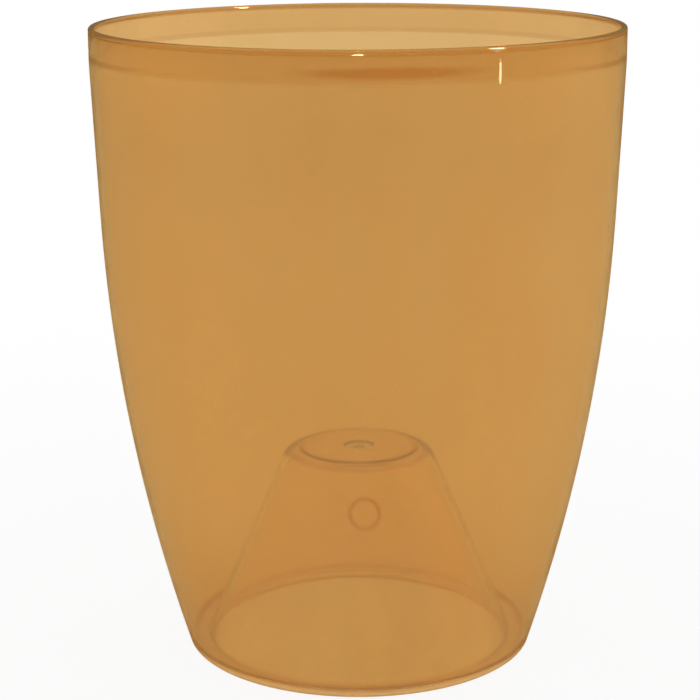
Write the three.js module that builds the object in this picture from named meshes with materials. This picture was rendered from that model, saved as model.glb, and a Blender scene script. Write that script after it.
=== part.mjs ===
// Orchid cover pot, moulded in one piece from amber see-through plastic.
// A thin wall widens from a narrow foot ring to an upright rim with a thickened collar.
// Inside the foot ring a hollow pedestal rises, so that an inner grow pot stands above
// the water that collects in the moat around it.
// Millimetres, +Z up, origin on the table under the centre of the foot.

import * as THREE from 'three';

// Rim and collar
const HEIGHT = 159.5;
const RIM_RADIUS = 66;
const COLLAR_HEIGHT = 6.5;
const COLLAR_WALL = 1.5;
const LIP_FLAT = 0.1;
const COLLAR_STEP_HEIGHT = 1.4;
const UPRIGHT_BELOW_COLLAR = 0.6;

// Wall: an upright band, a straight taper and a curved lower stretch
const WALL = 1.3;
const WALL_TAPER_DEGREES = 2.35;
const BEND_HEIGHT = 113.6;

// Foot ring: FOOT_RADIUS is where the outside of the wall would meet the table if the corner were sharp
const FOOT_RADIUS = 44.4;
const FOOT_OUTER_ROUND = 1.4;
const FOOT_INNER_ROUND = 0.6;
const MOAT_FLOOR = 2;
const MOAT_WIDTH = 4;
const MOAT_ROUND = 1.2;

// Pedestal: SHOULDER_RADIUS is where its side would reach the height of the seat. The seat is a disc
// that stands a little proud of the shoulder.
const PEDESTAL_HEIGHT = 51.4;
const PEDESTAL_WALL = 1.5;
const SHOULDER_RADIUS = 18.5;
const SHOULDER_ROUND = 3.6;
const SHOULDER_INNER_ROUND = 2.4;
const SEAT_RADIUS = 15.1;
const SEAT_STEP = 0.5;
const SEAT_EDGE_ROUND = 0.2;

// Gate mark in the middle of the seat: a shallow dimple with the broken-off sprue standing in it
const GATE_RADIUS = 4;
const GATE_DEPTH = 0.5;
const GATE_EDGE_ROUND = 0.4;
const SPRUE_RADIUS = 1.5;
const SPRUE_HEIGHT = 0.4;

// Fineness of the facets: per turn, per rounded corner and per half of the bent stretch
const TURN_STEPS = 64;
const ARC_STEPS = 4;
const BEND_STEPS = 4;

// Amber see-through plastic
const AMBER = 0xc5904e;
const AMBER_OPACITY = 0.6;
const AMBER_ROUGHNESS = 0.2;

// Heights at which one region of the moulding passes into the next
const collarBase = HEIGHT - COLLAR_HEIGHT - COLLAR_STEP_HEIGHT;
const taperTop = collarBase - UPRIGHT_BELOW_COLLAR;
const footTop = MOAT_FLOOR + 2 * MOAT_ROUND;
const bendMiddle = (footTop + BEND_HEIGHT) / 2;

// Outside of the wall at a height, with its slope. Below the bend it follows a parabola
// that leaves the straight taper smoothly and ends at the foot.
const taper = Math.tan(THREE.MathUtils.degToRad(WALL_TAPER_DEGREES));
const straightFoot = RIM_RADIUS - taper * taperTop;
const bend = (straightFoot - FOOT_RADIUS) / BEND_HEIGHT ** 2;

function wallSlope(height) {
  if (height >= taperTop) return 0;
  return taper + 2 * bend * Math.max(0, BEND_HEIGHT - height);
}

function wallOutside(height) {
  const below = Math.max(0, taperTop - height);
  const bent = Math.max(0, BEND_HEIGHT - height);
  return RIM_RADIUS - taper * below - bend * bent ** 2;
}

function wallInside(height) {
  return wallOutside(height) - WALL * Math.hypot(1, wallSlope(height));
}

// Outside and underside of the pedestal's straight side at a height
const pedestalFoot = wallInside(MOAT_FLOOR) - MOAT_WIDTH;
const pedestalSlope = (pedestalFoot - SHOULDER_RADIUS) / (PEDESTAL_HEIGHT - MOAT_FLOOR);

function pedestalOutside(height) {
  return SHOULDER_RADIUS + pedestalSlope * (PEDESTAL_HEIGHT - height);
}

function pedestalUnderside(height) {
  return pedestalOutside(height) - PEDESTAL_WALL * Math.hypot(1, pedestalSlope);
}

// Heights of the shoulder around the seat and of the seat's underside
const shoulderHeight = PEDESTAL_HEIGHT - SEAT_STEP;
const seatUnderside = PEDESTAL_HEIGHT - PEDESTAL_WALL;

// A corner of an outline, sharp or with a rounding radius
function corner(radius, height, round = 0) {
  return { at: new THREE.Vector2(radius, height), round };
}

// The arc that rounds a corner between its two neighbours
function cornerArc(before, { at, round }, after) {
  const back = before.clone().sub(at).normalize();
  const ahead = after.clone().sub(at).normalize();
  const halfAngle = Math.acos(back.dot(ahead)) / 2;
  const centre = back.clone().add(ahead).setLength(round / Math.sin(halfAngle)).add(at);
  const reach = round / Math.tan(halfAngle);
  const start = back.multiplyScalar(reach).add(at).sub(centre).angle();
  const end = ahead.clone().multiplyScalar(reach).add(at).sub(centre).angle();
  const clockwise = at.clone().sub(before).cross(ahead) < 0;
  return new THREE.EllipseCurve(centre.x, centre.y, round, round, start, end, clockwise).getPoints(ARC_STEPS);
}

// Points of an outline whose corners run up the outside and down the inside
function outlinePoints(corners) {
  return corners.flatMap((here, i) => {
    if (here.round === 0) return [here.at];
    return cornerArc(corners.at(i - 1).at, here, corners[(i + 1) % corners.length].at);
  });
}

// A solid turned from an outline about the pot's axis
function turned(name, corners) {
  const points = outlinePoints(corners);
  points.push(points[0].clone());
  const geometry = new THREE.LatheGeometry(points, TURN_STEPS);
  geometry.rotateX(Math.PI / 2);
  const material = new THREE.MeshStandardMaterial({
    color: AMBER,
    roughness: AMBER_ROUGHNESS,
    metalness: 0,
    transparent: true,
    opacity: AMBER_OPACITY,
  });
  const mesh = new THREE.Mesh(geometry, material);
  mesh.name = name;
  return mesh;
}

// Upright rim with a rounded lip, thickened inwards and stepped back to the wall underneath
function rimCollar() {
  const inside = RIM_RADIUS - COLLAR_WALL;
  const lipRound = (COLLAR_WALL - LIP_FLAT) / 2;
  return turned('rim_collar', [
    corner(wallOutside(collarBase), collarBase),
    corner(RIM_RADIUS, HEIGHT, lipRound),
    corner(inside, HEIGHT, lipRound),
    corner(inside, HEIGHT - COLLAR_HEIGHT),
    corner(wallInside(collarBase), collarBase),
  ]);
}

// Heights from one to another in even steps
function evenHeights(from, to, steps) {
  return Array.from({ length: steps + 1 }, (_, i) => THREE.MathUtils.lerp(from, to, i / steps));
}

// One stretch of the wall, from its lowest height to its highest
function wallStretch(name, heights) {
  return turned(name, [
    ...heights.map((height) => corner(wallOutside(height), height)),
    ...heights.toReversed().map((height) => corner(wallInside(height), height)),
  ]);
}

// Straight taper with a short upright band over it, which carries the collar
function upperWall() {
  return wallStretch('upper_wall', [BEND_HEIGHT, taperTop, collarBase]);
}

// Upper half of the bent stretch
function middleWall() {
  return wallStretch('middle_wall', evenHeights(bendMiddle, BEND_HEIGHT, BEND_STEPS));
}

// Lower half of the bent stretch, which stands on the foot ring
function lowerWall() {
  return wallStretch('lower_wall', evenHeights(footTop, bendMiddle, BEND_STEPS));
}

// Ring that the pot stands on, with the moat in its upper side
function footRing() {
  return turned('foot_ring', [
    corner(pedestalUnderside(0), 0, FOOT_INNER_ROUND),
    corner(FOOT_RADIUS, 0, FOOT_OUTER_ROUND),
    corner(wallOutside(footTop), footTop),
    corner(wallInside(footTop), footTop),
    corner(wallInside(MOAT_FLOOR), MOAT_FLOOR, MOAT_ROUND),
    corner(pedestalFoot, MOAT_FLOOR, MOAT_ROUND),
    corner(pedestalOutside(footTop), footTop),
    corner(pedestalUnderside(footTop), footTop),
  ]);
}

// Hollow cone with a rounded shoulder, open below
function pedestalCone() {
  return turned('pedestal_cone', [
    corner(pedestalUnderside(footTop), footTop),
    corner(pedestalOutside(footTop), footTop),
    corner(pedestalOutside(shoulderHeight), shoulderHeight, SHOULDER_ROUND),
    corner(SEAT_RADIUS, shoulderHeight),
    corner(SEAT_RADIUS, seatUnderside),
    corner(pedestalUnderside(seatUnderside), seatUnderside, SHOULDER_INNER_ROUND),
  ]);
}

// Flat seat for the inner pot, with the gate mark at its centre
function pedestalSeat() {
  const gateFloor = PEDESTAL_HEIGHT - GATE_DEPTH;
  return turned('pedestal_seat', [
    corner(0, seatUnderside),
    corner(SEAT_RADIUS, seatUnderside),
    corner(SEAT_RADIUS, PEDESTAL_HEIGHT, SEAT_EDGE_ROUND),
    corner(GATE_RADIUS, PEDESTAL_HEIGHT, GATE_EDGE_ROUND),
    corner(GATE_RADIUS - GATE_DEPTH, gateFloor),
    corner(SPRUE_RADIUS, gateFloor),
    corner(SPRUE_RADIUS, gateFloor + SPRUE_HEIGHT),
    corner(0, gateFloor + SPRUE_HEIGHT),
  ]);
}

const pot = new THREE.Group();
pot.name = 'orchid_pot';
pot.add(rimCollar(), upperWall(), middleWall(), lowerWall());
pot.add(footRing(), pedestalCone(), pedestalSeat());

export default pot;
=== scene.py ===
"""Studio scene of an amber see-through orchid cover pot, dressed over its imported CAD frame."""

import math

import bmesh
import bpy
from mathutils import Matrix, Vector, noise

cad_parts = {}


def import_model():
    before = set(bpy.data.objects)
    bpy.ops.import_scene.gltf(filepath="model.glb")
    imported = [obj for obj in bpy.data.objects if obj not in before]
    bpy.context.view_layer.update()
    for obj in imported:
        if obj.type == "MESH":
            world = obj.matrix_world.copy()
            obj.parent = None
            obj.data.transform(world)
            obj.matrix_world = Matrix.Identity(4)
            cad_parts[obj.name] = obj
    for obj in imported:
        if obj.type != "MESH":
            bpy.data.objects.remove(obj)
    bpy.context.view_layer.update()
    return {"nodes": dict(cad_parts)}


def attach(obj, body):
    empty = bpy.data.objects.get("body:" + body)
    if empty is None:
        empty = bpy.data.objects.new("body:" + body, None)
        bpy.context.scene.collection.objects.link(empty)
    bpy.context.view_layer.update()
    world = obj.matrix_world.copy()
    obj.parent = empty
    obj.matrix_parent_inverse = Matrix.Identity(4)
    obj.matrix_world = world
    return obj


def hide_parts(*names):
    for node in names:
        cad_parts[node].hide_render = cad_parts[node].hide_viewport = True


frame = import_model()

MM = 0.001
POT_NODES = sorted(frame["nodes"])

# Rim and collar, in millimetres like all of the outline
HEIGHT = 159.5
RIM_RADIUS = 66.0
COLLAR_HEIGHT = 6.5
COLLAR_WALL = 1.5
COLLAR_STEP_HEIGHT = 1.4
COLLAR_STEP_ROUND = 2.0
UPRIGHT_BELOW_COLLAR = 0.6
TAPER_START_ROUND = 20.0
LIP_ROUND = 0.7

# Line that the two halves of the mould left round the outside, just under the lip
PARTING_DROP = 1.0
PARTING_WIDTH = 0.4
PARTING_DEPTH = 0.1
PARTING_EDGE_ROUND = 0.05

# Wall
WALL = 1.3
WALL_TAPER = math.tan(math.radians(2.35))
BEND_HEIGHT = 113.6
BEND_STEPS = 40

# Foot ring and moat
FOOT_RADIUS = 44.4
FOOT_OUTER_ROUND = 1.4
FOOT_INNER_ROUND = 0.6
MOAT_FLOOR = 2.0
MOAT_WIDTH = 4.0
MOAT_ROUND = 1.2

# Pedestal: SHOULDER_RADIUS is where its side would meet the height of its seat
PEDESTAL_HEIGHT = 51.4
PEDESTAL_WALL = 1.5
SHOULDER_RADIUS = 18.5
SHOULDER_ROUND = 3.6
SHOULDER_INNER_ROUND = 2.4
SEAT_RADIUS = 15.1
SEAT_STEP = 0.5
SEAT_EDGE_ROUND = 0.2

# Gate mark in the middle of the seat
GATE_RADIUS = 4.0
GATE_DEPTH = 0.5
GATE_EDGE_ROUND = 0.4
SPRUE_RADIUS = 1.5
SPRUE_HEIGHT = 0.4
SPRUE_EDGE_ROUND = 0.19

# Unevenness of the broken face of the sprue: its height, and its waves to the millimetre
BREAK_RELIEF = 0.15
BREAK_WAVES = 1.3

# Plain raised ring on the front of the pedestal, left by a round insert in the mould. MARK_REACH is half
# the width of the finely meshed patch round it. A point within ON_SIDE of the pedestal's side lies on it.
MARK_HEIGHT = 40.4
MARK_AZIMUTH = math.radians(-90 + 3.6)
MARK_RADIUS = 3.7
MARK_LINE = 0.35
MARK_RELIEF = 0.18
MARK_REACH = 4.4
ON_SIDE = 0.01

# Waviness of the moulded faces
WAVE_LENGTH = 16.0
WAVE_DEPTH = 0.02

# Fineness of the mesh. A point nearer to the axis than ON_AXIS lies on it.
TURN_STEPS = 192
ARC_STEPS = 8
LINE_STEP = 3.0
FINE_STEP = 0.14
ON_AXIS = 1e-6

# Heights, slopes and radii that follow from these sizes
collar_base = HEIGHT - COLLAR_HEIGHT - COLLAR_STEP_HEIGHT
taper_top = collar_base - UPRIGHT_BELOW_COLLAR
foot_top = MOAT_FLOOR + 2 * MOAT_ROUND
straight_foot = RIM_RADIUS - WALL_TAPER * taper_top
bend = (straight_foot - FOOT_RADIUS) / BEND_HEIGHT**2


def wall_outside(z):
    """Radius of the wall's outside: straight taper, and under the bend a parabola that ends at the foot."""
    return RIM_RADIUS - WALL_TAPER * max(0.0, taper_top - z) - bend * max(0.0, BEND_HEIGHT - z) ** 2


def wall_slope(z):
    """How much the wall's outside widens per millimetre of height."""
    if z >= taper_top:
        return 0.0
    return WALL_TAPER + 2 * bend * max(0.0, BEND_HEIGHT - z)


def wall_inside(z):
    """Radius of the wall's inside, one wall behind the outside along its normal."""
    return wall_outside(z) - WALL * math.hypot(1, wall_slope(z))


moat_edge = wall_inside(MOAT_FLOOR)
pedestal_foot = moat_edge - MOAT_WIDTH
pedestal_slope = (pedestal_foot - SHOULDER_RADIUS) / (PEDESTAL_HEIGHT - MOAT_FLOOR)
shoulder_height = PEDESTAL_HEIGHT - SEAT_STEP
seat_underside = PEDESTAL_HEIGHT - PEDESTAL_WALL
gate_floor = PEDESTAL_HEIGHT - GATE_DEPTH


def pedestal_outside(z):
    """Radius of the pedestal's straight side."""
    return SHOULDER_RADIUS + pedestal_slope * (PEDESTAL_HEIGHT - z)


def pedestal_underside(z):
    """Radius of the hollow under the pedestal's straight side."""
    return pedestal_outside(z) - PEDESTAL_WALL * math.hypot(1, pedestal_slope)


def rounded(corners):
    """Points of an open outline whose corners are (radius, height, rounding)."""
    points = []
    for i, (r, z, rounding) in enumerate(corners):
        at = Vector((r, z))
        if rounding == 0:
            points.append(at)
            continue
        back = (Vector(corners[i - 1][:2]) - at).normalized()
        ahead = (Vector(corners[i + 1][:2]) - at).normalized()
        half = back.angle(ahead) / 2
        centre = at + (back + ahead).normalized() * (rounding / math.sin(half))
        reach = rounding / math.tan(half)
        first = at + back * reach - centre
        last = at + ahead * reach - centre
        turn = first.angle_signed(last)
        for k in range(ARC_STEPS + 1):
            angle = -turn * k / ARC_STEPS
            points.append(centre + Matrix.Rotation(angle, 2) @ first)
    return points


def on_mark(r, z):
    """Whether a point of the outline lies on the pedestal's side, beside the raised ring."""
    return abs(z - MARK_HEIGHT) < MARK_REACH and abs(r - pedestal_outside(z)) < ON_SIDE


def filled_in(points):
    """The same outline with its long stretches divided, finely where the raised ring is."""
    out = [points[0]]
    for a, b in zip(points, points[1:]):
        middle = (a + b) / 2
        step = FINE_STEP if on_mark(*middle) else LINE_STEP
        pieces = max(1, math.ceil((b - a).length / step))
        out += [a.lerp(b, k / pieces) for k in range(1, pieces + 1)]
    return out


def outline():
    """From the axis under the seat round the foot, up the outside, down the inside and to the axis."""
    collar_inside = RIM_RADIUS - COLLAR_WALL
    parting = HEIGHT - PARTING_DROP
    mark_low, mark_high = MARK_HEIGHT - MARK_REACH, MARK_HEIGHT + MARK_REACH
    climb = [foot_top + (BEND_HEIGHT - foot_top) * k / BEND_STEPS for k in range(BEND_STEPS + 1)]
    corners = [
        (0, seat_underside, 0),
        (pedestal_underside(seat_underside), seat_underside, SHOULDER_INNER_ROUND),
        (pedestal_underside(0), 0, FOOT_INNER_ROUND),
        (FOOT_RADIUS, 0, FOOT_OUTER_ROUND),
        *[(wall_outside(z), z, 0) for z in climb],
        (wall_outside(taper_top), taper_top, TAPER_START_ROUND),
        (RIM_RADIUS, parting - PARTING_WIDTH / 2, PARTING_EDGE_ROUND),
        (RIM_RADIUS - PARTING_DEPTH, parting, PARTING_EDGE_ROUND),
        (RIM_RADIUS, parting + PARTING_WIDTH / 2, PARTING_EDGE_ROUND),
        (RIM_RADIUS, HEIGHT, LIP_ROUND),
        (collar_inside, HEIGHT, LIP_ROUND),
        (collar_inside, HEIGHT - COLLAR_HEIGHT, COLLAR_STEP_ROUND),
        (wall_inside(collar_base), collar_base, COLLAR_STEP_ROUND),
        *[(wall_inside(z), z, 0) for z in reversed(climb)],
        (moat_edge, MOAT_FLOOR, MOAT_ROUND),
        (pedestal_foot, MOAT_FLOOR, MOAT_ROUND),
        (pedestal_outside(mark_low), mark_low, 0),
        (pedestal_outside(mark_high), mark_high, 0),
        (pedestal_outside(shoulder_height), shoulder_height, SHOULDER_ROUND),
        (SEAT_RADIUS, shoulder_height, SEAT_EDGE_ROUND),
        (SEAT_RADIUS, PEDESTAL_HEIGHT, SEAT_EDGE_ROUND),
        (GATE_RADIUS, PEDESTAL_HEIGHT, GATE_EDGE_ROUND),
        (GATE_RADIUS - GATE_DEPTH, gate_floor, 2 * SPRUE_EDGE_ROUND),
        (SPRUE_RADIUS, gate_floor, SPRUE_EDGE_ROUND),
        (SPRUE_RADIUS, gate_floor + SPRUE_HEIGHT, SPRUE_EDGE_ROUND),
        (0, gate_floor + SPRUE_HEIGHT, 0),
    ]
    return filled_in(rounded(corners))


def turn_angles():
    """Angles of the mesh round the axis, closer together where the raised ring is."""
    half = MARK_REACH / pedestal_outside(MARK_HEIGHT)
    fine = math.ceil(2 * MARK_REACH / FINE_STEP)
    coarse = round(TURN_STEPS * (1 - half / math.pi))
    near = [MARK_AZIMUTH - half + 2 * half * k / fine for k in range(fine)]
    rest = [MARK_AZIMUTH + half + 2 * (math.pi - half) * k / coarse for k in range(coarse)]
    return near + rest


def relief(r, z, angle):
    """How far a point of the surface stands out from the plain outline, along its normal."""
    place = Vector((r * math.cos(angle), r * math.sin(angle), z))
    out = WAVE_DEPTH * noise.noise(place / WAVE_LENGTH)
    if on_mark(r, z):
        across = r * math.remainder(angle - MARK_AZIMUTH, 2 * math.pi)
        along = (z - MARK_HEIGHT) * math.hypot(1, pedestal_slope)
        off_line = (math.hypot(across, along) - MARK_RADIUS) / MARK_LINE
        out += MARK_RELIEF * max(0.0, 1 - off_line**2) ** 2
    if r < 2 * SPRUE_RADIUS and z > gate_floor + SPRUE_HEIGHT / 2:
        out += BREAK_RELIEF * noise.noise(place * BREAK_WAVES)
    return out


def turned(name, points):
    """A closed surface of revolution about Z through an outline that starts and ends on the axis."""
    angles = turn_angles()
    mesh = bmesh.new()
    rings = []
    for before, point, after in zip([points[0], *points], points, [*points[1:], points[-1]]):
        along = (after - before).normalized()
        if point.x < ON_AXIS:
            rings.append([mesh.verts.new((0, 0, point.y * MM))])
            continue
        ring = []
        for angle in angles:
            out = relief(point.x, point.y, angle)
            r, z = point.x + out * along.y, point.y - out * along.x
            ring.append(mesh.verts.new((r * math.cos(angle) * MM, r * math.sin(angle) * MM, z * MM)))
        rings.append(ring)
    for low, high in zip(rings, rings[1:]):
        for k in range(len(angles)):
            after = (k + 1) % len(angles)
            if len(low) == 1:
                mesh.faces.new((low[0], high[after], high[k]))
            elif len(high) == 1:
                mesh.faces.new((low[k], low[after], high[0]))
            else:
                mesh.faces.new((low[k], low[after], high[after], high[k]))
    bmesh.ops.recalc_face_normals(mesh, faces=mesh.faces)
    for face in mesh.faces:
        face.smooth = True
    data = bpy.data.meshes.new(name)
    mesh.to_mesh(data)
    mesh.free()
    piece = bpy.data.objects.new(name, data)
    bpy.context.scene.collection.objects.link(piece)
    return piece


def node(tree, kind, setting=None, **inputs):
    """New shader node. An input is a constant or another node's output."""
    made = tree.nodes.new(kind)
    if setting:
        attribute, value = setting
        setattr(made, attribute, value)
    for key, value in inputs.items():
        socket = made.inputs[key.replace("_", " ")]
        if isinstance(value, bpy.types.NodeSocket):
            tree.links.new(value, socket)
        else:
            socket.default_value = value
    return made


def ranged(tree, value, low, high, at_low=0.0, at_high=1.0):
    """A value that runs from at_low to at_high while another runs from low to high."""
    ends = {"From_Min": low, "From_Max": high, "To_Min": at_low, "To_Max": at_high}
    return node(tree, "ShaderNodeMapRange", Value=value, **ends).outputs["Result"]


def ramp(tree, value, span):
    """A value that runs from 0 to 1 while a length runs along a span in millimetres."""
    low, high = span
    return ranged(tree, value, low * MM, high * MM)


def colour_between(tree, factor, a, b):
    """A colour that runs from one to another while a factor runs from 0 to 1."""
    made = node(tree, "ShaderNodeMix", ("data_type", "RGBA"), Factor=factor, A=a, B=b)
    return made.outputs["Result"]


def combined(tree, operation, *values):
    """The result of a Math node on numbers or other nodes' outputs."""
    made = tree.nodes.new("ShaderNodeMath")
    made.operation = operation
    for socket, value in zip(made.inputs, values):
        if isinstance(value, bpy.types.NodeSocket):
            tree.links.new(value, socket)
        else:
            socket.default_value = value
    return made.outputs[0]


def cloud(tree, place, scale, detail=2.0):
    """Noise about 0.5, on coordinates in metres or on a direction."""
    made = node(tree, "ShaderNodeTexNoise", Vector=place, Scale=scale, Detail=detail)
    return made.outputs[0]


# Colours of the plastic, of the painted shade and painted light on it, of its gloss, and of lamp light that
# shines through it
WALL_AMBER = (0.81, 0.566, 0.25, 1)
COLLAR_AMBER = (0.75, 0.49, 0.195, 1)
PEDESTAL_AMBER = (0.99, 0.87, 0.62, 1)
DEEP_AMBER = (0.72, 0.42, 0.13, 1)
# Colour of the painted shade: dark lines at edges, along the raised ring and in the collar's front
PAINTED_SHADE_AMBER = (0.6, 0.22, 0.02, 1)
# Paler colour painted as light on the foot's outer edge
FOOT_EDGE_LIGHT_AMBER = (0.98, 0.64, 0.27, 1)
GLOSS_TINT = (1.0, 0.55, 0.3, 1)
LAMP_THROUGH_WALL = (1.0, 0.97, 0.92, 1)
LAMP_THROUGH_FOOT = (1.0, 0.7, 0.36, 1)

# How strongly the plastic bends light
PLASTIC_IOR = 1.49

# Share of the light that goes straight through, and what takes from it
WALL_CLEAR = 0.81
PEDESTAL_CLEAR = 0.92
FLOW_HAZE = 0.03
# Haze that goes with the painted shade
PAINTED_SHADE_HAZE = 0.25
SCRATCH_HAZE = 0.1
# Haze of the painted light on the foot's outer edge
FOOT_EDGE_HAZE = 0.45

# Where one region of the plastic passes into the next, as radii or heights in millimetres
INTO_PEDESTAL = (moat_edge + 0.5, moat_edge - 1.5)
INTO_COLLAR = (collar_base - 0.5, HEIGHT - COLLAR_HEIGHT)
INTO_FOOT = (2.5, 0.3)
# Radii and heights of the painted light on the foot's outer edge
FOOT_EDGE_RADII = (FOOT_RADIUS - 1.2, FOOT_RADIUS - 0.6)
FOOT_EDGE_HEIGHTS = (2.4, 1.4)

# Fineness of the noise in the plastic: of the flow from the gate by direction, of the rest to the metre
FLOW_SCALE = 5
CLOUD_SCALE = 26
SATIN_SCALE = 90
GRAIN_SCALE = 700
SCRATCH_SCALE = 1400

# Part of the noise, which lies about 0.5, that each of its effects is spread over
FLOW_BAND = (0.35, 0.65)
CLOUD_BAND = (0.35, 0.65)
SATIN_BAND = (0.3, 0.7)
SCRATCH_BAND = (0.45, 0.7)

# Depth of the clouds in the colour, roughness of the gloss, and the fine grain of the surface
CLOUD_DEPTH = 0.12
SATIN_ROUGHNESS = (0.02, 0.05)
WORN_ROUGHNESS = 0.2
GRAIN_STRENGTH = 0.02
GRAIN_HEIGHT = 0.02

# Painted dark reflection, as a streak in the front of the collar: level and height in millimetres, and
# middle and width as shares of the rim's radius. STREAK_FRONT is the Y of the direction from the axis over
# which it comes in.
STREAK_LEVEL = 154.3
STREAK_HEIGHT = 3.4
STREAK_SIDE = 0.11
STREAK_WIDTH = 0.76
STREAK_DEPTH = 0.58
STREAK_FRONT = (-0.2, -0.4)

# Depth of the painted shade along the line of the raised ring, and how far under the pedestal's outside it
# ends
MARK_SHADE_DEPTH = 0.85
MARK_SKIN = (1.0, 0.5)

# Painted shade: rings at edges where the plastic is thick or sharply bent, darkened to stand in for the
# dark lines that refraction draws there. Radius, height and reach in millimetres, and depth of colour,
# which is full within the share RING_CORE of the reach
RING_CORE = 0.4
PAINTED_SHADE_RINGS = [
    (SEAT_RADIUS - 0.2, PEDESTAL_HEIGHT - 0.2, 1.2, 0.85),
    (pedestal_underside(seat_underside) - 0.2, seat_underside - 0.2, 1.1, 0.75),
    (0.0, PEDESTAL_HEIGHT, 2.2, 0.25),
    (moat_edge - 0.3, MOAT_FLOOR + 0.4, 1.5, 0.75),
    (moat_edge - MOAT_WIDTH / 2, MOAT_FLOOR, 2.6, 0.3),
    (pedestal_underside(0) + 0.4, 0.4, 1.6, 0.2),
    (RIM_RADIUS, HEIGHT - PARTING_DROP, 0.7, 0.7),
    (RIM_RADIUS - COLLAR_WALL, HEIGHT - COLLAR_HEIGHT - COLLAR_STEP_HEIGHT / 2, 0.9, 0.15),
]


def apart(tree, x, y, at_x, at_y):
    """Distance of two coordinates from a place given in millimetres."""
    across = combined(tree, "SUBTRACT", x, at_x * MM)
    up = combined(tree, "SUBTRACT", y, at_y * MM)
    offset = node(tree, "ShaderNodeCombineXYZ", X=across, Y=up).outputs[0]
    return node(tree, "ShaderNodeVectorMath", ("operation", "LENGTH"), Vector=offset).outputs["Value"]


def at_painted_shade_rings(tree, radius, height):
    """How much the painted shade rings darken the colour at a place."""
    strongest = 0.0
    for ring_radius, ring_height, reach, depth in PAINTED_SHADE_RINGS:
        away = apart(tree, radius, height, ring_radius, ring_height)
        near = ranged(tree, away, reach * MM, RING_CORE * reach * MM, 0.0, depth)
        strongest = combined(tree, "MAXIMUM", near, strongest)
    return strongest


def at_mark(tree, place, radius, height):
    """How much painted shade darkens the colour along the line of the raised ring, on the outside of the
    pedestal only.
    """
    r = pedestal_outside(MARK_HEIGHT)
    centre = Vector((r * math.cos(MARK_AZIMUTH), r * math.sin(MARK_AZIMUTH), MARK_HEIGHT)) * MM
    away = node(tree, "ShaderNodeVectorMath", ("operation", "DISTANCE"), Vector=place)
    away.inputs[1].default_value = centre
    past_line = combined(tree, "SUBTRACT", away.outputs["Value"], MARK_RADIUS * MM)
    off_line = combined(tree, "ABSOLUTE", past_line)
    line = ranged(tree, off_line, 2 * MARK_LINE * MM, MARK_LINE * MM, 0.0, MARK_SHADE_DEPTH)
    lean = combined(tree, "MULTIPLY_ADD", height, pedestal_slope, radius)
    on_outside = ramp(tree, lean, [pedestal_outside(0) - depth for depth in MARK_SKIN])
    return combined(tree, "MULTIPLY", line, on_outside)


def at_dark_reflection(tree, outward, height):
    """Painted dark reflection in the front of the collar, as an ellipse on the turned face."""
    split = node(tree, "ShaderNodeSeparateXYZ", Vector=outward)
    sideways = combined(tree, "MULTIPLY", split.outputs["X"], STREAK_HEIGHT / STREAK_WIDTH * MM)
    away = apart(tree, sideways, height, STREAK_SIDE * STREAK_HEIGHT / STREAK_WIDTH, STREAK_LEVEL)
    streak = ranged(tree, away, STREAK_HEIGHT / 2 * MM, STREAK_HEIGHT / 4 * MM, 0.0, STREAK_DEPTH)
    return combined(tree, "MULTIPLY", streak, ranged(tree, split.outputs["Y"], *STREAK_FRONT))


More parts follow.
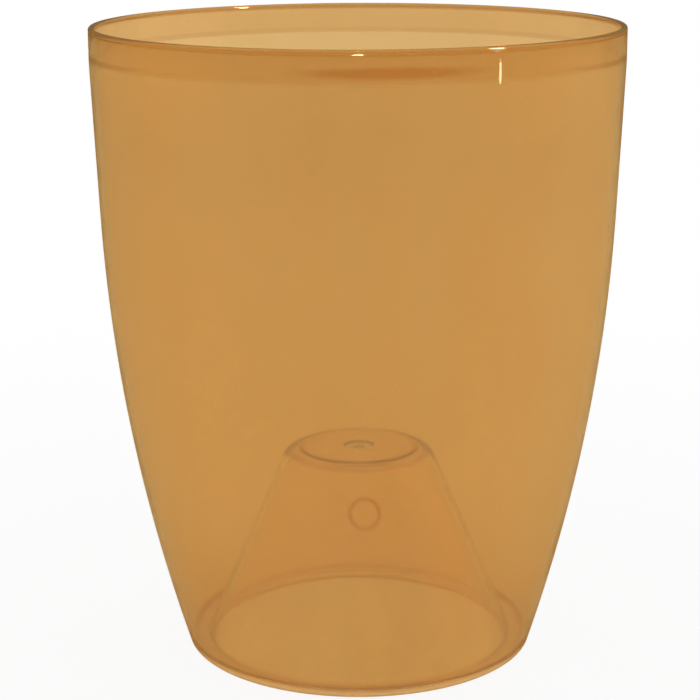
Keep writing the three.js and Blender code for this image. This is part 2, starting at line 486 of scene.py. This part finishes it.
def amber_plastic():
    """Hazy see-through plastic: deeper in the collar, paler in the pedestal, scuffed at the foot, with
    painted shade along its edges and painted light on the foot's outer edge.
    """
    material = bpy.data.materials.new("amber_plastic")
    material.use_nodes = True
    tree = material.node_tree
    shader = tree.nodes["Principled BSDF"]
    shader.inputs["IOR"].default_value = PLASTIC_IOR
    shader.inputs["Specular Tint"].default_value = GLOSS_TINT

    # Height, distance from the axis and direction from it
    place = node(tree, "ShaderNodeTexCoord").outputs["Object"]
    split = node(tree, "ShaderNodeSeparateXYZ", Vector=place)
    height = split.outputs["Z"]
    flat = node(tree, "ShaderNodeCombineXYZ", X=split.outputs["X"], Y=split.outputs["Y"]).outputs[0]
    radius = node(tree, "ShaderNodeVectorMath", ("operation", "LENGTH"), Vector=flat).outputs["Value"]
    outward = node(tree, "ShaderNodeVectorMath", ("operation", "NORMALIZE"), Vector=flat).outputs["Vector"]

    # Regions of the moulding
    in_pedestal = ramp(tree, radius, INTO_PEDESTAL)
    in_collar = ramp(tree, height, INTO_COLLAR)
    at_foot = ramp(tree, height, INTO_FOOT)

    # Painted light: the outer edge of the foot made paler and hazier, standing in for the light that the
    # table in front sends in through it
    on_outside = ramp(tree, radius, FOOT_EDGE_RADII)
    painted_light_at_foot_edge = combined(tree, "MULTIPLY", on_outside, ramp(tree, height, FOOT_EDGE_HEIGHTS))

    # Clouds in the colour, haze that flowed away from the gate, and scratches where the pot stands
    clouds = ranged(tree, cloud(tree, place, CLOUD_SCALE), *CLOUD_BAND, 0.0, CLOUD_DEPTH)
    flow = ranged(tree, cloud(tree, outward, FLOW_SCALE, 4), *FLOW_BAND)
    scratches = ranged(tree, cloud(tree, place, SCRATCH_SCALE, 3), *SCRATCH_BAND)
    worn = combined(tree, "MULTIPLY", at_foot, scratches)

    # Colour
    wall = colour_between(tree, in_collar, WALL_AMBER, COLLAR_AMBER)
    tint = colour_between(tree, in_pedestal, wall, PEDESTAL_AMBER)
    clouded = colour_between(tree, clouds, tint, DEEP_AMBER)
    # Painted shade: dark lines at edges and along the raised ring, and a painted dark reflection in the
    # collar's front
    lines = combined(tree, "MAXIMUM", at_painted_shade_rings(tree, radius, height), at_mark(tree, place, radius, height))
    painted_shade = combined(tree, "MAXIMUM", lines, at_dark_reflection(tree, outward, height))
    shaded_colour = colour_between(tree, painted_shade, clouded, PAINTED_SHADE_AMBER)
    # Painted light on the foot's outer edge
    lit_colour = colour_between(tree, painted_light_at_foot_edge, shaded_colour, FOOT_EDGE_LIGHT_AMBER)
    tree.links.new(lit_colour, shader.inputs["Base Color"])

    # Haze
    clear = ranged(tree, in_pedestal, 0, 1, WALL_CLEAR, PEDESTAL_CLEAR)
    hazy = combined(tree, "MULTIPLY_ADD", flow, -FLOW_HAZE, clear)
    # Where shade is painted, less light also goes straight through
    shade_hazed = combined(tree, "MULTIPLY_ADD", painted_shade, -PAINTED_SHADE_HAZE, hazy)
    scuffed = combined(tree, "MULTIPLY_ADD", worn, -SCRATCH_HAZE, shade_hazed)
    # The painted light on the foot's outer edge also lets less light straight through
    foot_edge_hazed = combined(tree, "MULTIPLY_ADD", painted_light_at_foot_edge, -FOOT_EDGE_HAZE, scuffed)
    tree.links.new(foot_edge_hazed, shader.inputs["Transmission Weight"])

    # Gloss and fine grain
    satin = ranged(tree, cloud(tree, place, SATIN_SCALE, 3), *SATIN_BAND, *SATIN_ROUGHNESS)
    dull = combined(tree, "MULTIPLY_ADD", worn, WORN_ROUGHNESS, satin)
    tree.links.new(dull, shader.inputs["Roughness"])

    bumps = cloud(tree, place, GRAIN_SCALE)
    raised = GRAIN_HEIGHT * MM
    grain = node(tree, "ShaderNodeBump", Strength=GRAIN_STRENGTH, Distance=raised, Height=bumps)
    tree.links.new(grain.outputs["Normal"], shader.inputs["Normal"])

    # Lamps shine through the wall, and less through the foot
    through = colour_between(tree, at_foot, LAMP_THROUGH_WALL, LAMP_THROUGH_FOOT)
    passing = node(tree, "ShaderNodeBsdfTransparent", Color=through)
    path = node(tree, "ShaderNodeLightPath")
    mix = tree.nodes.new("ShaderNodeMixShader")
    tree.links.new(path.outputs["Is Shadow Ray"], mix.inputs[0])
    tree.links.new(shader.outputs[0], mix.inputs[1])
    tree.links.new(passing.outputs[0], mix.inputs[2])
    tree.links.new(mix.outputs[0], tree.nodes["Material Output"].inputs["Surface"])
    return material


# Colours of the studio: FLOOR_SEEN_THROUGH is the floor behind the plastic
WHITE = (1, 1, 1, 1)
FLOOR_PLAIN = (0.7, 0.7, 0.7, 1)
FLOOR_REFLECTED = (0.42, 0.23, 0.06, 1)
FLOOR_SEEN_THROUGH = (0.97, 0.96, 0.95, 1)
WARM_HORIZON = (1, 0.96, 0.9, 1)
WARM_OVERHEAD = (1, 0.6, 0.25, 1)
WARM_REFLECTION = (1, 0.62, 0.3, 1)

# Size of the floor in metres, and its gap under the pot in millimetres
FLOOR_SIZE = 12
FLOOR_GAP = 0.3

# Distances from the pot in metres between which the floor fades to even white, and the shares of white
# there: for the camera, and through the pot
FADE_SEEN = (0.08, 0.4, 0.9, 1.0)
FADE_THROUGH = (0.8, 1.5, 0.0, 0.9)

# Brightness round the pot: on rough faces, in reflections, and through the pot from the horizon to
# overhead. HORIZON says how steeply a direction rises where it leaves the one and reaches the other.
AMBIENT = 0.5
REFLECTED = 0.16
THROUGH = (0.9, 0.2)
HORIZON = (0.05, 0.35)


def floor():
    """Pale floor with the pot's shadow, almost white for the camera, warm and dim in reflections."""
    bpy.ops.mesh.primitive_plane_add(size=FLOOR_SIZE, location=(0, 0, -FLOOR_GAP * MM))
    piece = bpy.context.object
    piece.name = "floor"
    material = bpy.data.materials.new("floor_white")
    material.use_nodes = True
    tree = material.node_tree
    tree.nodes.clear()
    path = node(tree, "ShaderNodeLightPath")

    place = node(tree, "ShaderNodeTexCoord").outputs["Object"]
    distance = node(tree, "ShaderNodeVectorMath", ("operation", "LENGTH"), Vector=place).outputs["Value"]

    plain = colour_between(tree, path.outputs["Is Glossy Ray"], FLOOR_PLAIN, FLOOR_REFLECTED)
    paint = colour_between(tree, path.outputs["Is Transmission Ray"], plain, FLOOR_SEEN_THROUGH)
    lit = node(tree, "ShaderNodeBsdfDiffuse", Color=paint)

    # Fades to even white away from the pot, sooner where the camera sees it than through the pot
    fade = ranged(tree, distance, *FADE_SEEN)
    far = ranged(tree, distance, *FADE_THROUGH)
    behind = combined(tree, "MULTIPLY", far, path.outputs["Is Transmission Ray"])
    shine = colour_between(tree, path.outputs["Is Camera Ray"], WARM_HORIZON, WHITE)
    share = node(tree, "ShaderNodeMix", Factor=path.outputs["Is Camera Ray"], A=behind, B=fade)
    glow = node(tree, "ShaderNodeEmission", Color=shine, Strength=1.0)
    mix = tree.nodes.new("ShaderNodeMixShader")
    tree.links.new(share.outputs["Result"], mix.inputs[0])
    tree.links.new(lit.outputs[0], mix.inputs[1])
    tree.links.new(glow.outputs[0], mix.inputs[2])
    out = tree.nodes.new("ShaderNodeOutputMaterial")
    tree.links.new(mix.outputs[0], out.inputs["Surface"])
    piece.data.materials.append(material)


def world():
    """White for the camera, bright round the horizon through the pot, warm and dim elsewhere."""
    made = bpy.data.worlds.new("studio")
    bpy.context.scene.world = made
    made.use_nodes = True
    tree = made.node_tree
    path = node(tree, "ShaderNodeLightPath")
    direction = node(tree, "ShaderNodeTexCoord").outputs["Generated"]
    upward = node(tree, "ShaderNodeSeparateXYZ", Vector=direction).outputs["Z"]
    ambient = ranged(tree, path.outputs["Is Glossy Ray"], 0, 1, AMBIENT, REFLECTED)
    overhead = ranged(tree, upward, *HORIZON)
    through = ranged(tree, overhead, 0, 1, *THROUGH)
    chosen = node(tree, "ShaderNodeMix", Factor=path.outputs["Is Transmission Ray"], A=ambient, B=through)
    unseen = chosen.outputs["Result"]
    strength = node(tree, "ShaderNodeMix", Factor=path.outputs["Is Camera Ray"], A=unseen, B=1.0)
    back = tree.nodes["Background"]
    reflected = colour_between(tree, path.outputs["Is Glossy Ray"], WHITE, WARM_REFLECTION)
    seen_through = colour_between(tree, overhead, WARM_HORIZON, WARM_OVERHEAD)
    colour = colour_between(tree, path.outputs["Is Transmission Ray"], reflected, seen_through)
    tree.links.new(colour, back.inputs["Color"])
    tree.links.new(strength.outputs["Result"], back.inputs["Strength"])


# Middle of the pot, which the lamps face, in metres
LAMP_AIM = Vector((0, 0, 0.08))


def softbox(name, azimuth, elevation, distance, size, radiance, in_gloss=False, in_transmission=False):
    """Area lamp that faces the pot. Azimuth counts from the front, towards the right of the photograph."""
    data = bpy.data.lights.new(name, "AREA")
    data.shape = "RECTANGLE"
    data.size, data.size_y = size
    data.energy = radiance * math.pi * size[0] * size[1]
    lamp = bpy.data.objects.new(name, data)
    bpy.context.scene.collection.objects.link(lamp)
    a, e = math.radians(azimuth), math.radians(elevation)
    away = Vector((math.sin(a) * math.cos(e), -math.cos(a) * math.cos(e), math.sin(e)))
    lamp.location = LAMP_AIM + away * distance
    lamp.rotation_mode = "QUATERNION"
    lamp.rotation_quaternion = (-away).to_track_quat("-Z", "Y")
    lamp.visible_camera = False
    lamp.visible_transmission = in_transmission
    lamp.visible_glossy = in_gloss


def glint_card(name, place, size, strength):
    """Small bright card that faces the rim and shows only in reflections."""
    bpy.ops.mesh.primitive_plane_add(size=1, location=place)
    card = bpy.context.object
    card.name = name
    card.scale = (*size, 1)
    card.rotation_mode = "QUATERNION"
    card.rotation_quaternion = (Vector((0, 0, HEIGHT * MM)) - Vector(place)).to_track_quat("Z", "Y")
    material = bpy.data.materials.new(name)
    material.use_nodes = True
    tree = material.node_tree
    tree.nodes.clear()
    glow = node(tree, "ShaderNodeEmission", Strength=strength)
    out = tree.nodes.new("ShaderNodeOutputMaterial")
    tree.links.new(glow.outputs[0], out.inputs["Surface"])
    material.cycles.emission_sampling = "NONE"
    card.data.materials.append(material)
    card.visible_camera = False
    card.visible_diffuse = False
    card.visible_transmission = False
    card.visible_shadow = False


def lights():
    """Large soft lamps, a small one in front, and two cards for glints on the rim, in metres."""
    side = {"elevation": 30, "distance": 1.0, "size": (1.2, 1.3), "in_transmission": True}
    softbox("softbox_left", azimuth=-95, radiance=0.5, **side)
    softbox("softbox_right", azimuth=95, radiance=0.9, **side)
    softbox("fill_front", azimuth=0, elevation=12, distance=1.6, size=(2.0, 1.2), radiance=0.6)
    softbox("fill_top", azimuth=180, elevation=80, distance=1.6, size=(2.0, 2.0), radiance=0.52)
    small = (0.08, 0.08)
    softbox("lamp_front", azimuth=0, elevation=45, distance=1.2, size=small, radiance=80, in_gloss=True)
    glint_card("glint_lip", place=(0.66, -0.36, 0.52), size=(0.06, 0.2), strength=300)
    glint_card("glint_collar", place=(1.05, -0.63, 0.024), size=(0.02, 0.03), strength=25)


# Camera of the photograph: place in metres, turns in degrees, lens and sensor in millimetres
CAMERA_PLACE = (0, -0.4999162, 0.2026049)
CAMERA_PAN = 0.2474
CAMERA_TILT = 14.1545
CAMERA_ROLL = -0.214
CAMERA_LENS = 103.435
CAMERA_SENSOR = 36


def camera():
    """The camera that the photograph was taken with, as fitted to the pot's outline."""
    data = bpy.data.cameras.new("camera")
    data.sensor_width = CAMERA_SENSOR
    data.lens = CAMERA_LENS
    data.clip_start, data.clip_end = 0.01, 100
    made = bpy.data.objects.new("camera", data)
    bpy.context.scene.collection.objects.link(made)
    made.matrix_world = (
        Matrix.Translation(CAMERA_PLACE)
        @ Matrix.Rotation(math.radians(CAMERA_PAN), 4, "Z")
        @ Matrix.Rotation(math.radians(90 - CAMERA_TILT), 4, "X")
        @ Matrix.Rotation(math.radians(CAMERA_ROLL), 4, "Z")
    )
    bpy.context.scene.camera = made


pot = turned("pot_moulding", outline())
pot.data.materials.append(amber_plastic())
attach(pot, "root")
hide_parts(*POT_NODES)

floor()
world()
lights()
camera()

scene = bpy.context.scene
scene.view_settings.view_transform = "Standard"
scene.cycles.max_bounces = 32
scene.cycles.transmission_bounces = 24
